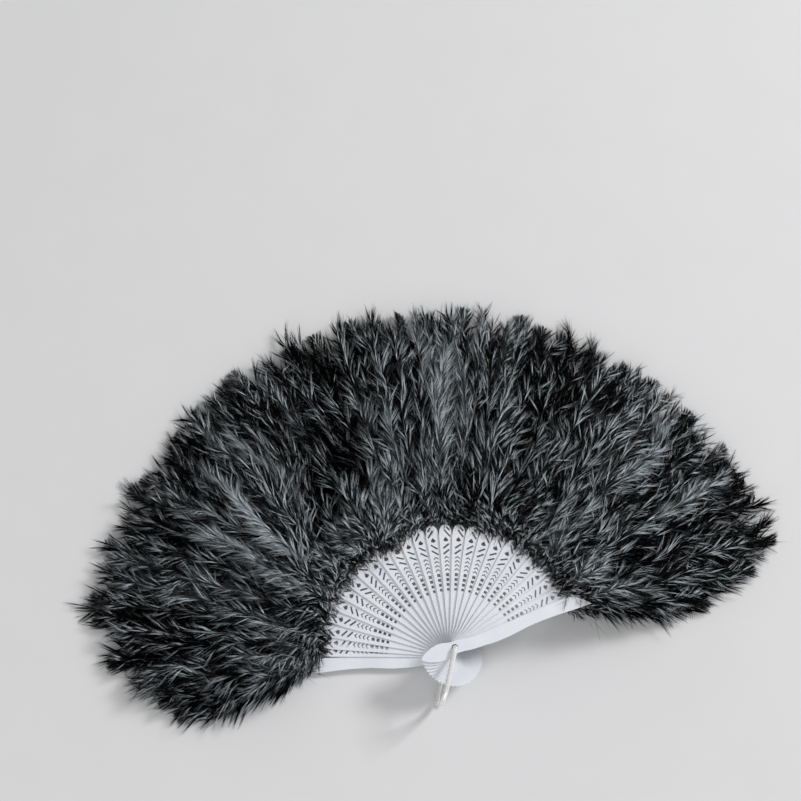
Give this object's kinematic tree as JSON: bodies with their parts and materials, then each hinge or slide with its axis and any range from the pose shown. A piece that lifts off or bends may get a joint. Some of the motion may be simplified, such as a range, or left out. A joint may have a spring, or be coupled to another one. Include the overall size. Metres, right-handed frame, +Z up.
{
  "type": "feather fan",
  "caption": "Folding hand fan: pierced sticks between plain guards turn on a bent wire with a hanging loop, and every arm ends in a fluffy feather plume.",
  "frame": {"origin": "middle of the open fan's footprint, on the surface it lies on with its front face up", "axes": "+X from the back guard's side to the front guard's side, +Y from the pivot up the open fan to the feathers, +Z up out of the front face, along the pivot wire"},
  "size_m": [0.4962, 0.293, 0.0413],
  "materials": {
    "white_plastic": "satin moulded white plastic",
    "feather": "soft dyed black feather",
    "bright_wire": "bright plated wire"
  },
  "bodies": {
    "back_guard": {"back_guard": "white_plastic", "back_plume": "feather"},
    "stick_01": {"stick_01": "white_plastic", "plume_01": "feather"},
    "stick_02": {"stick_02": "white_plastic", "plume_02": "feather"},
    "stick_03": {"stick_03": "white_plastic", "plume_03": "feather"},
    "stick_04": {"stick_04": "white_plastic", "plume_04": "feather"},
    "stick_05": {"stick_05": "white_plastic", "plume_05": "feather"},
    "stick_06": {"stick_06": "white_plastic", "plume_06": "feather"},
    "stick_07": {"stick_07": "white_plastic", "plume_07": "feather"},
    "stick_08": {"stick_08": "white_plastic", "plume_08": "feather"},
    "stick_09": {"stick_09": "white_plastic", "plume_09": "feather"},
    "stick_10": {"stick_10": "white_plastic", "plume_10": "feather"},
    "stick_11": {"stick_11": "white_plastic", "plume_11": "feather"},
    "stick_12": {"stick_12": "white_plastic", "plume_12": "feather"},
    "stick_13": {"stick_13": "white_plastic", "plume_13": "feather"},
    "stick_14": {"stick_14": "white_plastic", "plume_14": "feather"},
    "stick_15": {"stick_15": "white_plastic", "plume_15": "feather"},
    "stick_16": {"stick_16": "white_plastic", "plume_16": "feather"},
    "stick_17": {"stick_17": "white_plastic", "plume_17": "feather"},
    "stick_18": {"stick_18": "white_plastic", "plume_18": "feather"},
    "stick_19": {"stick_19": "white_plastic", "plume_19": "feather"},
    "stick_20": {"stick_20": "white_plastic", "plume_20": "feather"},
    "stick_21": {"stick_21": "white_plastic", "plume_21": "feather"},
    "stick_22": {"stick_22": "white_plastic", "plume_22": "feather"},
    "stick_23": {"stick_23": "white_plastic", "plume_23": "feather"},
    "stick_24": {"stick_24": "white_plastic", "plume_24": "feather"},
    "stick_25": {"stick_25": "white_plastic", "plume_25": "feather"},
    "front_guard": {"front_guard": "white_plastic", "front_plume": "feather"},
    "pivot_loop": {"pivot_loop": "bright_wire"}
  },
  "joints": [
    {"name": "fold", "type": "hinge", "parent": "back_guard", "child": "front_guard", "pos_m": [-0.01314, -0.10988, 0], "axis": [0, 0, 1], "range_deg": [0, 165], "deforming": ["front_plume", "back_plume"]},
    {"name": "stick_01_fold", "type": "hinge", "parent": "back_guard", "child": "stick_01", "pos_m": [-0.01314, -0.10988, 0], "axis": [0, 0, 1], "range_deg": [0, 7.43], "deforming": ["plume_01"]},
    {"name": "stick_02_fold", "type": "hinge", "parent": "back_guard", "child": "stick_02", "pos_m": [-0.01314, -0.10988, 0], "axis": [0, 0, 1], "range_deg": [0, 10.93], "deforming": ["plume_02"]},
    {"name": "stick_03_fold", "type": "hinge", "parent": "back_guard", "child": "stick_03", "pos_m": [-0.01314, -0.10988, 0], "axis": [0, 0, 1], "range_deg": [0, 16.43], "deforming": ["plume_03"]},
    {"name": "stick_04_fold", "type": "hinge", "parent": "back_guard", "child": "stick_04", "pos_m": [-0.01314, -0.10988, 0], "axis": [0, 0, 1], "range_deg": [0, 22.89], "deforming": ["plume_04"]},
    {"name": "stick_05_fold", "type": "hinge", "parent": "back_guard", "child": "stick_05", "pos_m": [-0.01314, -0.10988, 0], "axis": [0, 0, 1], "range_deg": [0, 29.35], "deforming": ["plume_05"]},
    {"name": "stick_06_fold", "type": "hinge", "parent": "back_guard", "child": "stick_06", "pos_m": [-0.01314, -0.10988, 0], "axis": [0, 0, 1], "range_deg": [0, 35.81], "deforming": ["plume_06"]},
    {"name": "stick_07_fold", "type": "hinge", "parent": "back_guard", "child": "stick_07", "pos_m": [-0.01314, -0.10988, 0], "axis": [0, 0, 1], "range_deg": [0, 42.27], "deforming": ["plume_07"]},
    {"name": "stick_08_fold", "type": "hinge", "parent": "back_guard", "child": "stick_08", "pos_m": [-0.01314, -0.10988, 0], "axis": [0, 0, 1], "range_deg": [0, 48.73], "deforming": ["plume_08"]},
    {"name": "stick_09_fold", "type": "hinge", "parent": "back_guard", "child": "stick_09", "pos_m": [-0.01314, -0.10988, 0], "axis": [0, 0, 1], "range_deg": [0, 55.19], "deforming": ["plume_09"]},
    {"name": "stick_10_fold", "type": "hinge", "parent": "back_guard", "child": "stick_10", "pos_m": [-0.01314, -0.10988, 0], "axis": [0, 0, 1], "range_deg": [0, 61.65], "deforming": ["plume_10"]},
    {"name": "stick_11_fold", "type": "hinge", "parent": "back_guard", "child": "stick_11", "pos_m": [-0.01314, -0.10988, 0], "axis": [0, 0, 1], "range_deg": [0, 68.11], "deforming": ["plume_11"]},
    {"name": "stick_12_fold", "type": "hinge", "parent": "back_guard", "child": "stick_12", "pos_m": [-0.01314, -0.10988, 0], "axis": [0, 0, 1], "range_deg": [0, 74.57], "deforming": ["plume_12"]},
    {"name": "stick_13_fold", "type": "hinge", "parent": "back_guard", "child": "stick_13", "pos_m": [-0.01314, -0.10988, 0], "axis": [0, 0, 1], "range_deg": [0, 81.03], "deforming": ["plume_13"]},
    {"name": "stick_14_fold", "type": "hinge", "parent": "back_guard", "child": "stick_14", "pos_m": [-0.01314, -0.10988, 0], "axis": [0, 0, 1], "range_deg": [0, 87.49], "deforming": ["plume_14"]},
    {"name": "stick_15_fold", "type": "hinge", "parent": "back_guard", "child": "stick_15", "pos_m": [-0.01314, -0.10988, 0], "axis": [0, 0, 1], "range_deg": [0, 93.95], "deforming": ["plume_15"]},
    {"name": "stick_16_fold", "type": "hinge", "parent": "back_guard", "child": "stick_16", "pos_m": [-0.01314, -0.10988, 0], "axis": [0, 0, 1], "range_deg": [0, 100.41], "deforming": ["plume_16"]},
    {"name": "stick_17_fold", "type": "hinge", "parent": "back_guard", "child": "stick_17", "pos_m": [-0.01314, -0.10988, 0], "axis": [0, 0, 1], "range_deg": [0, 106.87], "deforming": ["plume_17"]},
    {"name": "stick_18_fold", "type": "hinge", "parent": "back_guard", "child": "stick_18", "pos_m": [-0.01314, -0.10988, 0], "axis": [0, 0, 1], "range_deg": [0, 113.33], "deforming": ["plume_18"]},
    {"name": "stick_19_fold", "type": "hinge", "parent": "back_guard", "child": "stick_19", "pos_m": [-0.01314, -0.10988, 0], "axis": [0, 0, 1], "range_deg": [0, 119.79], "deforming": ["plume_19"]},
    {"name": "stick_20_fold", "type": "hinge", "parent": "back_guard", "child": "stick_20", "pos_m": [-0.01314, -0.10988, 0], "axis": [0, 0, 1], "range_deg": [0, 126.25], "deforming": ["plume_20"]},
    {"name": "stick_21_fold", "type": "hinge", "parent": "back_guard", "child": "stick_21", "pos_m": [-0.01314, -0.10988, 0], "axis": [0, 0, 1], "range_deg": [0, 132.71], "deforming": ["plume_21"]},
    {"name": "stick_22_fold", "type": "hinge", "parent": "back_guard", "child": "stick_22", "pos_m": [-0.01314, -0.10988, 0], "axis": [0, 0, 1], "range_deg": [0, 139.17], "deforming": ["plume_22"]},
    {"name": "stick_23_fold", "type": "hinge", "parent": "back_guard", "child": "stick_23", "pos_m": [-0.01314, -0.10988, 0], "axis": [0, 0, 1], "range_deg": [0, 145.63], "deforming": ["plume_23"]},
    {"name": "stick_24_fold", "type": "hinge", "parent": "back_guard", "child": "stick_24", "pos_m": [-0.01314, -0.10988, 0], "axis": [0, 0, 1], "range_deg": [0, 152.09], "deforming": ["plume_24"]},
    {"name": "stick_25_fold", "type": "hinge", "parent": "back_guard", "child": "stick_25", "pos_m": [-0.01314, -0.10988, 0], "axis": [0, 0, 1], "range_deg": [0, 158.55], "deforming": ["plume_25"]},
    {"name": "loop_swing", "type": "hinge", "parent": "back_guard", "child": "pivot_loop", "pos_m": [-0.01314, -0.10988, 0], "axis": [0, 0, 1], "range_deg": [-50, 105]}
  ],
  "couplings": [
    {"joint": "stick_01_fold", "follows": "fold", "ratio": 0.04497},
    {"joint": "stick_02_fold", "follows": "fold", "ratio": 0.066182},
    {"joint": "stick_03_fold", "follows": "fold", "ratio": 0.099515},
    {"joint": "stick_04_fold", "follows": "fold", "ratio": 0.13867},
    {"joint": "stick_05_fold", "follows": "fold", "ratio": 0.17782},
    {"joint": "stick_06_fold", "follows": "fold", "ratio": 0.21697},
    {"joint": "stick_07_fold", "follows": "fold", "ratio": 0.25612},
    {"joint": "stick_08_fold", "follows": "fold", "ratio": 0.29527},
    {"joint": "stick_09_fold", "follows": "fold", "ratio": 0.33442},
    {"joint": "stick_10_fold", "follows": "fold", "ratio": 0.37358},
    {"joint": "stick_11_fold", "follows": "fold", "ratio": 0.41273},
    {"joint": "stick_12_fold", "follows": "fold", "ratio": 0.45188},
    {"joint": "stick_13_fold", "follows": "fold", "ratio": 0.49103},
    {"joint": "stick_14_fold", "follows": "fold", "ratio": 0.53018},
    {"joint": "stick_15_fold", "follows": "fold", "ratio": 0.56933},
    {"joint": "stick_16_fold", "follows": "fold", "ratio": 0.60848},
    {"joint": "stick_17_fold", "follows": "fold", "ratio": 0.64764},
    {"joint": "stick_18_fold", "follows": "fold", "ratio": 0.68679},
    {"joint": "stick_19_fold", "follows": "fold", "ratio": 0.72594},
    {"joint": "stick_20_fold", "follows": "fold", "ratio": 0.76509},
    {"joint": "stick_21_fold", "follows": "fold", "ratio": 0.80424},
    {"joint": "stick_22_fold", "follows": "fold", "ratio": 0.84339},
    {"joint": "stick_23_fold", "follows": "fold", "ratio": 0.88255},
    {"joint": "stick_24_fold", "follows": "fold", "ratio": 0.9217},
    {"joint": "stick_25_fold", "follows": "fold", "ratio": 0.96085}
  ]
}
